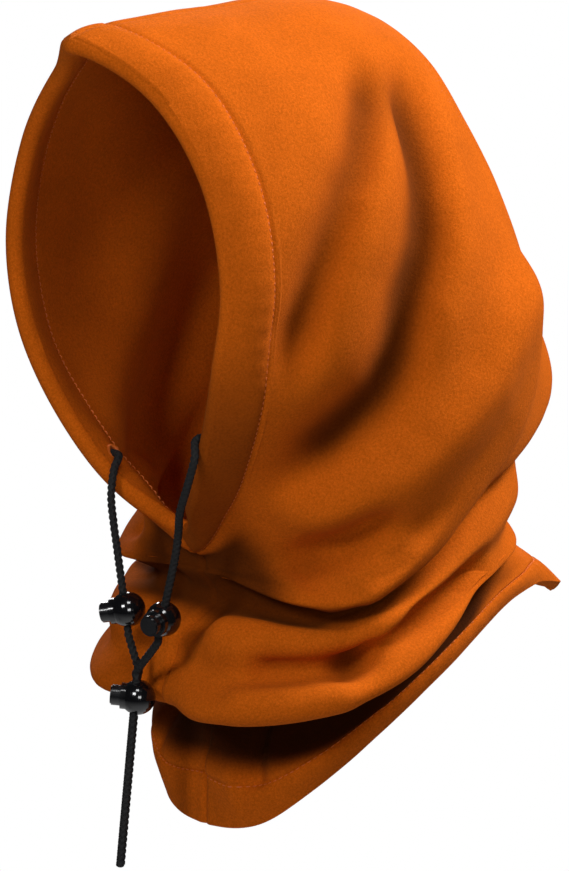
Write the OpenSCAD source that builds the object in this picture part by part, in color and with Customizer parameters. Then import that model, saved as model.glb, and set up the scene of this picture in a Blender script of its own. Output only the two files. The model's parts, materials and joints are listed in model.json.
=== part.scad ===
/* [Cloth] */
// Thickness of one layer of fleece
fleece = 2.5; // [1.5:0.5:3]
// Facets along each stretch between two lines of the pattern, round the garment
steps_round = 2; // [1:1:3]
// Facets along each stretch between two rings of the pattern, rim to hem
steps_down = 2; // [1:1:3]

/* [Drawcord] */
// Diameter of the braided drawcord
cord_d = 3.6; // [3:0.2:4]
// Distance of the drawcord from the rim inside its casing
cord_inset = 6; // [5:0.5:8]
// Distance of each eyelet from the rim
eyelet_inset = 12; // [10:0.5:14]

/* [Cord locks] */
// Diameter of a cord lock's round barrel
lock_d = 16; // [15.5:0.5:17]
// Diameter of the push button
button_d = 9.4; // [9:0.1:9.8]
// How far a button can be pushed in
press = 2.4; // [1.5:0.1:2.4]
// How far a button stands out of the ball when it is released
proud = 4.4; // [3.5:0.1:5.5]

/* [Hidden] */
$fn = 48;

orange = [0.80, 0.33, 0.02];
black = [0.05, 0.05, 0.06];

// Where the top of the head meets the hood, in the pattern's coordinates. It is the part's origin.
head_top = [0, 10, 194];

// The pattern: rings from the rim of the face opening to the bottom hem. Each ring has eight
// points, from the centre line over the crown and back to the centre line of the front, on the
// wearer's left. The right half is its mirror image.
rings = [
    // rim of the face opening
    [[0, -125, 197], [35, -107, 175], [65, -101, 138], [78, -100, 92],
     [70, -99, 50], [52, -91, 12], [28, -79, -19], [0, -62, -36]],
    // stitch line of the casing
    [[0, -100, 201], [42, -84, 181], [75, -79, 141], [88, -78, 92],
     [80, -77, 46], [60, -70, 8], [32, -60, -22], [0, -54, -46]],
    // temples and cheeks
    [[0, -45, 202], [52, -38, 182], [87, -34, 139], [98, -34, 90],
     [93, -34, 36], [72, -40, -8], [36, -50, -34], [0, -50, -48]],
    // crown and ears
    [[0, 18, 199], [52, 20, 176], [88, 20, 128], [102, 20, 74],
     [100, 8, 16], [82, -18, -24], [42, -44, -42], [0, -48, -50]],
    // back of the crown and jaw
    [[0, 75, 169], [42, 72, 141], [75, 70, 94], [94, 66, 42],
     [97, 36, -4], [86, -8, -36], [48, -43, -48], [0, -47, -52]],
    // back of the head
    [[0, 110, 98], [38, 104, 78], [70, 92, 46], [90, 66, 10],
     [96, 28, -22], [88, -12, -48], [52, -43, -54], [0, -47, -54]],
    // lower edge of the upper roll
    [[0, 150, 12], [40, 127, 12], [70, 84, -4], [86, 44, -18],
     [92, 4, -38], [84, -28, -60], [54, -46, -62], [0, -48, -57]],
    // crease where the hood joins the neck
    [[0, 118, -4], [40, 104, -6], [64, 76, -16], [78, 42, -26],
     [82, 4, -46], [70, -22, -66], [50, -44, -68], [0, -50, -61]],
    // crest of the middle roll
    [[0, 124, -26], [44, 102, -30], [70, 74, -34], [86, 40, -44],
     [92, 2, -60], [79, -28, -78], [50, -54, -76], [0, -58, -74]],
    // shallow crease
    [[0, 116, -44], [40, 98, -44], [66, 72, -48], [82, 38, -56],
     [86, 0, -74], [77, -34, -91], [46, -60, -90], [0, -64, -88]],
    // edge of the lower roll
    [[0, 120, -52], [40, 104, -54], [68, 76, -58], [84, 38, -68],
     [92, -6, -92], [80, -43, -105], [42, -76, -112], [0, -72, -112]],
    // deep crease under the lower roll
    [[0, 122, -60], [38, 102, -60], [62, 70, -62], [72, 36, -74],
     [74, -2, -96], [62, -32, -112], [34, -54, -124], [0, -55, -124]],
    // stitch line of the hem
    [[0, 146, -76], [36, 116, -72], [62, 76, -74], [76, 36, -88],
     [74, -2, -112], [58, -30, -134], [33, -45, -150], [0, -46, -150]],
    // bottom edge
    [[0, 166, -92], [30, 128, -82], [58, 82, -82], [75, 35, -99],
     [70, 2, -123], [54, -26, -150], [32, -42, -169], [0, -47, -174]]
];
front = 7;        // the centre front line
stitch_ring = 1;  // ring numbers of the four places where pieces meet
crease_ring = 7;
hem_ring = 12;
last_ring = 13;

// Places along the rim of the two eyelets: the left one sits a little higher. The drawcord leaves
// them away from the casing's inner face, towards the rim.
left_eyelet_at = 4.95;
right_eyelet_at = 5.6;
left_eyelet_exit = [-9, -5, 2];
right_eyelet_exit = [9, -3, 0];

// Where the drawcord runs through each lock, the way it runs up from there, and the way the
// lock's button points.
left_lock_at = [16, -85, -70];
left_lock_up = [6, 0, 19];
left_lock_push = [3, -10, -1.5];
right_lock_at = [-10, -85, -70];
right_lock_up = [-4, 0, 19];
right_lock_push = [-9, -7, -3];
joint_lock_at = [-3, -85, -109];
joint_lock_up = [1, 8, 75];
joint_lock_push = [-7, -7, 0];

// Routes of the two free ends, from over the rim to the tips. They pass through their own locks,
// then side by side through the joint lock.
left_route = [
    [45, -89, 17], [49, -93, 10], [44, -93, -3], [35, -90, -17], [29, -86, -28]
];
right_route = [
    [-24, -80, -9], [-21, -84, -20], [-18, -85, -32]
];

// ---- vectors ----
function unit(v) = v / norm(v);
function flip(p) = [-p.x, p.y, p.z];
function curve(a, b, c, d, t) =
    (2 * b + (c - a) * t + (2 * a - 5 * b + 4 * c - d) * t * t
     + (3 * b - a - 3 * c + d) * t * t * t) / 2;

// ---- the outer face of the cloth: u runs round the garment, v from the rim to the hem ----
function knot(ring, i) =
    i < 0 ? flip(rings[ring][-i]) : i > front ? flip(rings[ring][2 * front - i]) : rings[ring][i];
function round_ring(ring, u) = let (i = floor(u), t = u - i)
    curve(knot(ring, i - 1), knot(ring, i), knot(ring, i + 1), knot(ring, i + 2), t);
function ring_point(ring, u) =
    ring < 0 ? 2 * round_ring(0, u) - round_ring(1, u)
    : ring > last_ring ? 2 * round_ring(last_ring, u) - round_ring(last_ring - 1, u)
    : round_ring(ring, u);
function half_skin(u, v) = let (i = min(floor(v), last_ring - 1), t = v - i)
    curve(ring_point(i - 1, u), ring_point(i, u), ring_point(i + 1, u), ring_point(i + 2, u), t)
    - head_top;
// A negative u is on the wearer's right.
function skin(u, v) = u < 0 ? flip(half_skin(-u, v)) : half_skin(u, v);

slope_step = 0.15;
function half_normal(u, v) =
    let (v0 = max(v - slope_step, 0), v1 = min(v + slope_step, last_ring))
    let (round = knot_slope(u, v), down = half_skin(u, v1) - half_skin(u, v0))
    unit(cross(round, down));
function knot_slope(u, v) =
    u < slope_step ? half_skin(u + slope_step, v) - flip(half_skin(slope_step - u, v))
    : u > front - slope_step
        ? flip(half_skin(2 * front - u - slope_step, v)) - half_skin(u - slope_step, v)
    : half_skin(u + slope_step, v) - half_skin(u - slope_step, v);
function normal(u, v) = u < 0 ? flip(half_normal(-u, v)) : half_normal(u, v);

// ---- closed solids from grids of points ----
// A grid of rows and columns that closes on itself column-wise, and row-wise if looped.
module tube_from(grid, looped = false) {
    rows = len(grid);
    sides = len(grid[0]);
    points = [for (row = grid) each row];
    spans = looped ? rows : rows - 1;
    skirt = [for (r = [0:spans - 1], s = [0:sides - 1])
        let (a = r * sides + s, b = r * sides + (s + 1) % sides)
        let (c = ((r + 1) % rows) * sides + (s + 1) % sides, d = ((r + 1) % rows) * sides + s)
        each [[a, b, c], [a, c, d]]];
    first = [for (s = [sides - 1:-1:0]) s];
    last = [for (s = [0:sides - 1]) (rows - 1) * sides + s];
    polyhedron(points, looped ? skirt : concat(skirt, [first, last]), convexity = 8);
}

// A panel of cloth between two rings, on one side of the centre lines.
module panel(v0, v1, side) {
    n_round = front * steps_round;
    n_down = (v1 - v0) * steps_down;
    function cell(i, j, h) = let (u = i / steps_round, v = v0 + j / steps_down)
        let (p = half_skin(u, v) + half_normal(u, v) * h)
        [side * p.x, p.y, p.z];
    across = n_round + 1;
    outer = [for (j = [0:n_down], i = [0:n_round]) cell(i, j, 0)];
    inner = [for (j = [0:n_down], i = [0:n_round]) cell(i, j, -fleece)];
    base = len(outer);
    faces = [
        for (j = [0:n_down - 1], i = [0:n_round - 1])
            let (a = j * across + i, b = a + 1, c = b + across, d = a + across)
            each [[a, b, c], [a, c, d], [base + a, base + c, base + b], [base + a, base + d, base + c]],
        for (i = [0:n_round - 1])
            let (a = i, b = i + 1, c = n_down * across + i, d = c + 1)
            each [[a, base + a, base + b], [a, base + b, b], [c, d, base + d], [c, base + d, base + c]],
        for (j = [0:n_down - 1])
            let (a = j * across, b = a + across, c = a + n_round, d = c + across)
            each [[a, b, base + b], [a, base + b, base + a], [c, base + c, base + d], [c, base + d, d]]
    ];
    turned = side < 0 ? faces : [for (f = faces) [f[2], f[1], f[0]]];
    polyhedron(concat(outer, inner), turned, convexity = 8);
}

// A band that runs all round the garment. Each point of its section is [v, height above the
// cloth's outer face, distance past v along the cloth].
module band(section, steps) {
    count = 2 * front * steps;
    function place(k, q) = let (u = k / steps)
        let (w = u <= front ? u : u - 2 * front)
        skin(w, q[0]) + normal(w, q[0]) * q[1] + unit(skin(w, 1) - skin(w, 0)) * q[2];
    tube_from([for (k = [0:count - 1]) [for (q = section) place(k, q)]], looped = true);
}

// ---- cords ----
cord_sides = 8;
function cord_rings(path) = [
    for (i = [0:len(path) - 1])
        let (t = unit(path[min(i + 1, len(path) - 1)] - path[max(i - 1, 0)]))
        let (a = unit(cross(t, [0.3, 0.9, 0.3])), b = cross(a, t))
        [for (k = [0:cord_sides - 1])
            path[i] + (a * cos(360 * k / cord_sides) + b * sin(360 * k / cord_sides)) * cord_d / 2]
];
module cord(path) { color(black) tube_from(cord_rings(path)); }

// The drawcord's place inside the casing.
function casing_point(u, inset, depth) =
    skin(u, 0) + unit(skin(u, 1) - skin(u, 0)) * inset - normal(u, 0.3) * depth;
casing_depth = 8.4;
wall = 2.1;
casing_steps = 2;
channel_depth = casing_depth / 2;

// ---- cloth ----
module hood_left_panel() { color(orange) panel(stitch_ring, crease_ring, 1); }
module hood_right_panel() { color(orange) panel(stitch_ring, crease_ring, -1); }
module neck_left_panel() { color(orange) panel(crease_ring, hem_ring, 1); }
module neck_right_panel() { color(orange) panel(crease_ring, hem_ring, -1); }

// The rim's cloth is turned in and stitched down, which leaves a channel for the drawcord.
module face_casing() {
    section = [
        [1, -wall, 0], [0, -wall, 4.4], [0, -channel_depth, 2.4], [0, wall - casing_depth, 4.4],
        [0.4, 0.4 + wall - casing_depth, 0], [1, -0.1 - fleece, 0],
        [1, -2 * fleece, 0], [0.4, 0.4 - casing_depth, 0], [0, -casing_depth, 3.5],
        [0, 1.8 - casing_depth, 0.4], [0, -channel_depth, -0.6],
        [0, -1.8, 0.4], [0, 0.2, 3.5], [0.5, 0.3, 0], [1, 0, 0]
    ];
    color(orange) difference() {
        band(section, casing_steps);
        eyelet_hole(left_eyelet_at, left_eyelet_exit);
        eyelet_hole(-right_eyelet_at, right_eyelet_exit);
    }
}

// The bottom edge is turned up on the inside and stitched.
module bottom_hem() {
    section = [
        [hem_ring, 0, 0], [hem_ring + 0.5, 0.2, 0], [hem_ring + 0.93, 0, 0],
        [last_ring, -1.2, 0], [last_ring, 1.2 - 2 * fleece, 0],
        [hem_ring + 0.93, -2 * fleece, 0], [hem_ring + 0.5, -0.2 - 2 * fleece, 0],
        [hem_ring, -2 * fleece, 0]
    ];
    color(orange) band(section, steps_round);
}

// ---- eyelets: stitched buttonholes in the casing's inner layer ----
slot_w = cord_d + 0.8;
slot_l = 10;
stitch_w = 1.3;
stitch_rise = 0.5;
function eyelet_at(u) = casing_point(u, eyelet_inset, casing_depth - 0.4);

// Puts its children at a place, with their Z along one direction and their X towards another.
module facing(at, z_way, x_way) {
    z = unit(z_way);
    y = unit(cross(z, x_way));
    x = cross(y, z);
    multmatrix([[x.x, y.x, z.x, at.x], [x.y, y.y, z.y, at.y], [x.z, y.z, z.z, at.z], [0, 0, 0, 1]])
        children();
}
module slot(width, length) {
    square([length - width, width], center = true);
    for (end = [-1, 1]) translate([end * (length - width) / 2, 0]) circle(d = width);
}
module eyelet_hole(u, exit_way) {
    facing(eyelet_at(u), -normal(u, 0.3), exit_way) translate([0, 0, -wall - 0.3])
        linear_extrude(wall + 2) slot(slot_w + 2 * stitch_w, slot_l + 2 * stitch_w);
}
module eyelet(u, exit_way) {
    color(orange * 0.8) facing(eyelet_at(u), -normal(u, 0.3), exit_way) translate([0, 0, -wall])
        linear_extrude(wall + stitch_rise) difference() {
            slot(slot_w + 2 * stitch_w, slot_l + 2 * stitch_w);
            slot(slot_w, slot_l);
        }
}
module eyelet_left() { eyelet(left_eyelet_at, left_eyelet_exit); }
module eyelet_right() { eyelet(-right_eyelet_at, right_eyelet_exit); }

// ---- drawcord ----
// The points of a smooth curve through a route, a few to each stretch.
function smooth(route, n) = let (last = len(route) - 1) [
    for (i = [0:last - 1], k = [0:n - 1])
        let (before = i > 0 ? route[i - 1] : 2 * route[0] - route[1])
        let (after = i + 2 <= last ? route[i + 2] : 2 * route[last] - route[last - 1])
        curve(before, route[i], route[i + 1], after, k / n),
    route[last]
];
lead_in = 0.2;
exit_straight = 8;
function turn_out(u, back) = [
    casing_point(u - back * lead_in, eyelet_inset - 2, channel_depth),
    casing_point(u - back * lead_in / 2, eyelet_inset, channel_depth + 0.6),
    eyelet_at(u)
];
module drawcord_in_casing() {
    left_last = floor((left_eyelet_at - lead_in) * casing_steps - 0.3);
    right_last = floor((right_eyelet_at - lead_in) * casing_steps - 0.3);
    middle = [for (k = [left_last:-1:-right_last])
        casing_point(k / casing_steps, cord_inset, channel_depth)];
    left_turn = turn_out(left_eyelet_at, 1);
    right_turn = turn_out(-right_eyelet_at, -1);
    cord(concat([left_turn[2], left_turn[1], left_turn[0]], middle, right_turn));
}

// One free end: out of its eyelet, down its route, through its lock, then through the joint lock
// beside the other end, to its tip. It runs straight for a while on both sides of a lock.
beside = cord_d / 2 + 0.1;
lock_reach = 8.5;
lead = 4;
stretch = 30;
tail = 78;
function free_end(u, exit_way, route, lock_at, lock_up, side) =
    let (start = eyelet_at(u), up = unit(lock_up), joint_up = unit(joint_lock_up))
    let (apart = unit(cross(joint_up, unit(joint_lock_push))) * beside * side)
    let (lock = lock_at - head_top, joint = joint_lock_at - head_top + apart)
    [
        start, start + unit(exit_way) * exit_straight,
        for (p = route) p - head_top,
        lock + up * stretch, lock, lock - up * lock_reach, lock - up * (lock_reach + lead),
        joint + joint_up * (lock_reach + lead), joint + joint_up * lock_reach, joint,
        joint - joint_up * tail / 2, joint - joint_up * tail
    ];
module drawcord_left_end() {
    cord(smooth(free_end(left_eyelet_at, left_eyelet_exit, left_route, left_lock_at,
                         left_lock_up, 1), 2));
}
module drawcord_right_end() {
    cord(smooth(free_end(-right_eyelet_at, right_eyelet_exit, right_route, right_lock_at,
                         right_lock_up, -1), 2));
}

// ---- cord locks ----
// In a lock's own frame the cord runs along Z and the button points along X. The cord's hole
// lies a little towards the button.
hole_off = 1.2;
gap = 0.15;
cord_gap = 0.3;
wire_d = 0.5;
spring_d = 6;
coils = 3;
button_in = hole_off - cord_d / 2 - cord_gap;
button_back = button_in - 1.4;
button_out = lock_d / 2 + proud;
slot_out = hole_off + cord_d / 2 + cord_gap + press;
bore_floor = button_back - press - 0.3;
spring_floor = bore_floor - 1.6;
function hole_l(cords) = cord_d + 2 * cord_gap + (cords - 1) * 2 * beside;
module along_x(d, x0, x1) { translate([x0, 0, 0]) rotate([0, 90, 0]) cylinder(d = d, h = x1 - x0); }
module cord_hole(cords) {
    translate([hole_off, 0, -lock_d]) rotate([0, 0, 90]) linear_extrude(2 * lock_d) {
        if (cords == 1) circle(d = hole_l(1));
        else slot(hole_l(1), hole_l(cords));
    }
}
module barrel(cords) {
    ball = lock_d / 2;
    collar = button_d / 2 + 1.3;
    bore = button_d / 2 + gap;
    pocket = spring_d / 2 + wire_d;
    collar_end = lock_d * 0.48;
    from = acos(collar / ball);
    facets = 14;
    profile = concat(
        [for (i = [0:facets]) let (a = -90 + (from + 90) * i / facets) [ball * cos(a), ball * sin(a)]],
        [[collar, collar_end], [bore, collar_end], [bore, bore_floor]],
        [[pocket, bore_floor], [pocket, spring_floor], [0, spring_floor]]
    );
    difference() {
        rotate([0, 90, 0]) rotate_extrude() polygon(profile);
        cord_hole(cords);
    }
}
module button(cords) {
    difference() {
        union() {
            along_x(button_d, button_back, button_out - 0.6);
            along_x(button_d - 1.2, button_out - 1, button_out);
        }
        translate([button_in, -hole_l(cords) / 2, -lock_d])
            cube([slot_out - button_in, hole_l(cords), 2 * lock_d]);
    }
}
module spring() {
    x0 = spring_floor + wire_d / 2 + 0.05;
    x1 = button_back - wire_d / 2 - 0.05;
    turn = 12;
    sides = 6;
    last = coils * turn;
    tube_from([for (i = [0:last])
        let (a = 360 * i / turn, out = [0, cos(a), sin(a)], at = x0 + (x1 - x0) * i / last)
        [for (k = [0:sides - 1])
            [at, 0, 0] + out * (spring_d + wire_d * cos(360 * k / sides)) / 2
            + [sin(360 * k / sides) * wire_d / 2, 0, 0]]]);
}
// The ball sits off the cord, away from the button.
module lock_place(at, up, push) {
    facing(at - head_top, up, push) translate([-hole_off, 0, 0]) children();
}
module on_left() { lock_place(left_lock_at, left_lock_up, left_lock_push) children(); }
module on_right() { lock_place(right_lock_at, right_lock_up, right_lock_push) children(); }
module on_joint() { lock_place(joint_lock_at, joint_lock_up, joint_lock_push) children(); }
module left_lock_barrel() { color(black) on_left() barrel(1); }
module left_lock_button() { color(black) on_left() button(1); }
module left_lock_spring() { color("silver") on_left() spring(); }
module right_lock_barrel() { color(black) on_right() barrel(1); }
module right_lock_button() { color(black) on_right() button(1); }
module right_lock_spring() { color("silver") on_right() spring(); }
module joint_lock_barrel() { color(black) on_joint() barrel(2); }
module joint_lock_button() { color(black) on_joint() button(2); }
module joint_lock_spring() { color("silver") on_joint() spring(); }

hood_left_panel();
hood_right_panel();
neck_left_panel();
neck_right_panel();
face_casing();
bottom_hem();
eyelet_left();
eyelet_right();
drawcord_in_casing();
drawcord_left_end();
drawcord_right_end();
left_lock_barrel();
left_lock_button();
left_lock_spring();
right_lock_barrel();
right_lock_button();
right_lock_spring();
joint_lock_barrel();
joint_lock_button();
joint_lock_spring();
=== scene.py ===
"""An orange fleece hood balaclava with a drawcord and three push-button cord locks."""

import json
import math

import bpy
import numpy as np
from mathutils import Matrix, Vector, noise


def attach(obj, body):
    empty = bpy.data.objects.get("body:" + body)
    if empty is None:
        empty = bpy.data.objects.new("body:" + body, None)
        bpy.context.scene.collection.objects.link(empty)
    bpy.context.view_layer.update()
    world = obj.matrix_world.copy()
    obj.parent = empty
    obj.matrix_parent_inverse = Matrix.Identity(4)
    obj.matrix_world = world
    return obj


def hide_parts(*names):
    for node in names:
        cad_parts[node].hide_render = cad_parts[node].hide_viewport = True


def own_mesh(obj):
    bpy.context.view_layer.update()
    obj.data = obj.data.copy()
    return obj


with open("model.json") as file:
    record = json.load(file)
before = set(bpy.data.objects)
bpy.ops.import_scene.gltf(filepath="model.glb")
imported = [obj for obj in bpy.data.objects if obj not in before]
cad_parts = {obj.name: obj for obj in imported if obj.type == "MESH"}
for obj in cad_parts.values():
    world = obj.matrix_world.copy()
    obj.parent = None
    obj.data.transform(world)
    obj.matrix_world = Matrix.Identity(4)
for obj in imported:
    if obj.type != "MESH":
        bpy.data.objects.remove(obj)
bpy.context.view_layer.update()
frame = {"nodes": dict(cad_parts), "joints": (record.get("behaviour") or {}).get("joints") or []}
MM = 0.001

# ---------------------------------------------------------------- sizes, in millimetres
FLEECE = 2.5            # one layer of cloth
CORD_D = 3.6
CASING_DEPTH = 8.4      # the rim's casing, through both layers and the cord

# The pattern of the CAD part: rings from the rim to the bottom hem, eight points each from the
# centre line of the crown to the centre line of the front, on the wearer's left. The rings either
# side of the crease under the hood, and of the hollow under the lowest roll, are drawn a few
# millimetres deeper here than in the CAD part, so that those folds read at the right depth.
HEAD_TOP = np.array((0, 10, 194), float)
RINGS = np.array([
    [[0, -125, 197], [35, -107, 175], [65, -101, 138], [78, -100, 92],
     [70, -99, 50], [52, -91, 12], [28, -79, -19], [0, -62, -36]],
    [[0, -100, 201], [42, -84, 181], [75, -79, 141], [88, -78, 92],
     [80, -77, 46], [60, -70, 8], [32, -60, -22], [0, -54, -46]],
    [[0, -45, 202], [52, -38, 182], [87, -34, 139], [98, -34, 90],
     [93, -34, 36], [72, -40, -8], [36, -50, -34], [0, -50, -48]],
    [[0, 18, 199], [52, 20, 176], [88, 20, 128], [102, 20, 74],
     [100, 8, 16], [82, -18, -24], [42, -44, -42], [0, -48, -50]],
    [[0, 75, 169], [42, 72, 141], [75, 70, 94], [94, 66, 42],
     [99, 32, 5], [86, -8, -35], [48, -43, -48], [0, -47, -52]],
    [[0, 110, 98], [38, 104, 78], [70, 92, 46], [90, 66, 10],
     [98, 29, -14], [89, -12, -46], [52, -43, -54], [0, -47, -54]],
    [[0, 150, 12], [40, 127, 12], [70, 84, -4], [86, 44, -18],
     [93, 8, -42], [84, -28, -60], [54, -46, -62], [0, -48, -57]],
    [[0, 118, -4], [40, 104, -6], [64, 76, -16], [78, 42, -26],
     [81, 9, -50], [67, -19, -66], [46, -34, -71], [0, -41, -69]],
    [[0, 124, -26], [44, 102, -30], [70, 74, -34], [86, 40, -44],
     [92, 2, -60], [79, -28, -78], [50, -57, -81], [0, -60, -81]],
    [[0, 116, -44], [40, 98, -44], [66, 72, -48], [82, 38, -56],
     [86, 0, -74], [77, -34, -91], [47, -63, -95], [0, -67, -94]],
    [[0, 120, -52], [40, 104, -54], [68, 76, -58], [84, 38, -68],
     [92, -6, -92], [80, -43, -105], [42, -76, -112], [0, -72, -112]],
    [[0, 122, -60], [38, 102, -60], [62, 70, -62], [70, 35, -72],
     [70, -1, -93], [57, -26, -108], [30, -44, -120], [0, -47, -120]],
    [[0, 146, -76], [36, 116, -72], [62, 76, -74], [76, 36, -88],
     [74, -2, -112], [58, -30, -134], [33, -45, -150], [0, -46, -150]],
    [[0, 166, -92], [30, 128, -82], [58, 82, -82], [75, 35, -99],
     [70, 2, -123], [54, -26, -150], [32, -42, -169], [0, -47, -174]],
], float)
STITCH_RING, CREASE_RING, HEM_RING, LAST_RING = 1, 7, 12, 13
FRONT = 7               # the front's centre line; the crown's and the back's is 0
LOOP = 2 * FRONT        # points all the way round a ring

# ---------------------------------------------------------------- the camera
CAMERA_AZIMUTH, CAMERA_ELEVATION = math.radians(50), math.radians(12)
CAMERA_DISTANCE = 4.0
FIELD_HEIGHT = 0.3945   # metres seen from the top to the bottom of the view
AIM = Vector((0, -0.010, -0.194))


def make_camera():
    data = bpy.data.cameras.new("camera")
    data.sensor_width = 36
    data.lens = data.sensor_width * CAMERA_DISTANCE / FIELD_HEIGHT
    data.dof.use_dof = False
    camera = bpy.data.objects.new("camera", data)
    bpy.context.scene.collection.objects.link(camera)
    a, e = CAMERA_AZIMUTH, CAMERA_ELEVATION
    back = Vector((math.sin(a) * math.cos(e), -math.cos(a) * math.cos(e), math.sin(e)))
    camera.location = AIM + back * CAMERA_DISTANCE
    camera.rotation_mode = "QUATERNION"
    camera.rotation_quaternion = (-back).to_track_quat("-Z", "Y")
    bpy.context.scene.camera = camera


make_camera()


# ---------------------------------------------------------------- small helpers
def unit(v):
    return v / np.maximum(np.linalg.norm(v, axis=-1, keepdims=True), 1e-9)


def smoothstep(x):
    x = np.clip(x, 0, 1)
    return x * x * (3 - 2 * x)


def rise(x, start, length):
    """0 up to start, 1 from start + length on, and smooth between."""
    return smoothstep((x - start) / length)


def fall(x, end, length):
    """1 up to end - length, 0 from end on, and smooth between."""
    return smoothstep((end - x) / length)


def shares(count):
    """That many evenly spaced shares of the way, from 0 to 1."""
    return [k / (count - 1) for k in range(count)]


def curve(a, b, c, d, t):
    """A smooth curve from b to c, where a and d are the points before and after."""
    return (2 * b + (c - a) * t + (2 * a - 5 * b + 4 * c - d) * t * t
            + (3 * b - a - 3 * c + d) * t * t * t) / 2


def new_object(name, points, faces, body, material, replaces=(), smooth_angle=50):
    """A mesh from points in millimetres of the row frame."""
    mesh = bpy.data.meshes.new(name)
    mesh.from_pydata((np.asarray(points) * MM).tolist(), [], faces)
    mesh.polygons.foreach_set("use_smooth", [True] * len(mesh.polygons))
    mesh.set_sharp_from_angle(angle=math.radians(smooth_angle))
    mesh.materials.append(material)
    obj = bpy.data.objects.new(name, mesh)
    bpy.context.scene.collection.objects.link(obj)
    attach(obj, body)
    if replaces:
        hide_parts(*replaces)
    return obj


def grid_faces(rows, columns, looped_rows=False, looped_columns=False, offset=0, turned=False):
    """Quads between the points of a grid, whose first point has the number offset."""
    faces = []
    for r in range(rows if looped_rows else rows - 1):
        for c in range(columns if looped_columns else columns - 1):
            a = r * columns + c
            b = r * columns + (c + 1) % columns
            d = ((r + 1) % rows) * columns + c
            e = ((r + 1) % rows) * columns + (c + 1) % columns
            quad = (a, b, e, d) if not turned else (d, e, b, a)
            faces.append(tuple(offset + i for i in quad))
    return faces


# ---------------------------------------------------------------- materials
def node_tree(name):
    material = bpy.data.materials.new(name)
    material.use_nodes = True
    nodes, links = material.node_tree.nodes, material.node_tree.links
    return material, nodes, links, nodes["Principled BSDF"]


def noise_node(nodes, links, coordinates, scale, detail=3, roughness=0.6):
    """Noise over the object's own coordinates, with that many waves to a metre."""
    tex = nodes.new("ShaderNodeTexNoise")
    tex.inputs["Scale"].default_value = scale
    tex.inputs["Detail"].default_value = detail
    tex.inputs["Roughness"].default_value = roughness
    links.new(coordinates.outputs["Object"], tex.inputs["Vector"])
    return tex


def fleece_material(name, colour):
    """Brushed fleece: a mottled pile that is paler at its tips, with a soft sheen."""
    material, nodes, links, shader = node_tree(name)
    where = nodes.new("ShaderNodeTexCoord")
    pile = noise_node(nodes, links, where, 2400, 2, 0.7)
    tufts = noise_node(nodes, links, where, 900, 3, 0.65)
    wear = noise_node(nodes, links, where, 45, 2, 0.5)
    mix = nodes.new("ShaderNodeMath")
    mix.operation = "MULTIPLY_ADD"
    mix.inputs[1].default_value = 0.6
    links.new(tufts.outputs["Fac"], mix.inputs[0])
    half = nodes.new("ShaderNodeMath")
    half.operation = "MULTIPLY"
    half.inputs[1].default_value = 0.4
    links.new(pile.outputs["Fac"], half.inputs[0])
    links.new(half.outputs[0], mix.inputs[2])
    ramp = nodes.new("ShaderNodeValToRGB")
    ramp.color_ramp.elements[0].position = 0.36
    ramp.color_ramp.elements[1].position = 0.64
    ramp.color_ramp.elements[0].color = [c * 0.74 for c in colour] + [1]
    ramp.color_ramp.elements[1].color = [min(c * 1.15 + 0.004, 1) for c in colour] + [1]
    links.new(mix.outputs[0], ramp.inputs["Fac"])
    tone = nodes.new("ShaderNodeMixRGB")
    tone.blend_type = "MULTIPLY"
    tone.inputs["Fac"].default_value = 0.25
    links.new(ramp.outputs["Color"], tone.inputs["Color1"])
    links.new(wear.outputs["Fac"], tone.inputs["Color2"])
    # painted shade: a point attribute darkens the colour, down to 0.07 of itself, in the bottoms of
    # folds, in the hollow under the lowest roll, under the chin and jaw, and on the casing's lower
    # left
    painted_shade = nodes.new("ShaderNodeAttribute")
    painted_shade.attribute_name = "painted_shade"
    painted_shade_factor = nodes.new("ShaderNodeMapRange")
    painted_shade_factor.inputs["To Min"].default_value = 1.0
    painted_shade_factor.inputs["To Max"].default_value = 0.07
    links.new(painted_shade.outputs["Fac"], painted_shade_factor.inputs["Value"])
    painted_shading = nodes.new("ShaderNodeMixRGB")
    painted_shading.blend_type = "MULTIPLY"
    painted_shading.inputs["Fac"].default_value = 1.0
    links.new(tone.outputs["Color"], painted_shading.inputs["Color1"])
    links.new(painted_shade_factor.outputs["Result"], painted_shading.inputs["Color2"])
    links.new(painted_shading.outputs["Color"], shader.inputs["Base Color"])
    bump = nodes.new("ShaderNodeBump")
    bump.inputs["Strength"].default_value = 0.55
    bump.inputs["Distance"].default_value = 0.0009
    links.new(mix.outputs[0], bump.inputs["Height"])
    links.new(bump.outputs["Normal"], shader.inputs["Normal"])
    shader.inputs["Roughness"].default_value = 0.95
    shader.inputs["Specular IOR Level"].default_value = 0.06
    shader.inputs["Sheen Weight"].default_value = 0.05
    shader.inputs["Sheen Roughness"].default_value = 0.6
    shader.inputs["Sheen Tint"].default_value = (1, 0.35, 0.06, 1)
    return material


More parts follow.
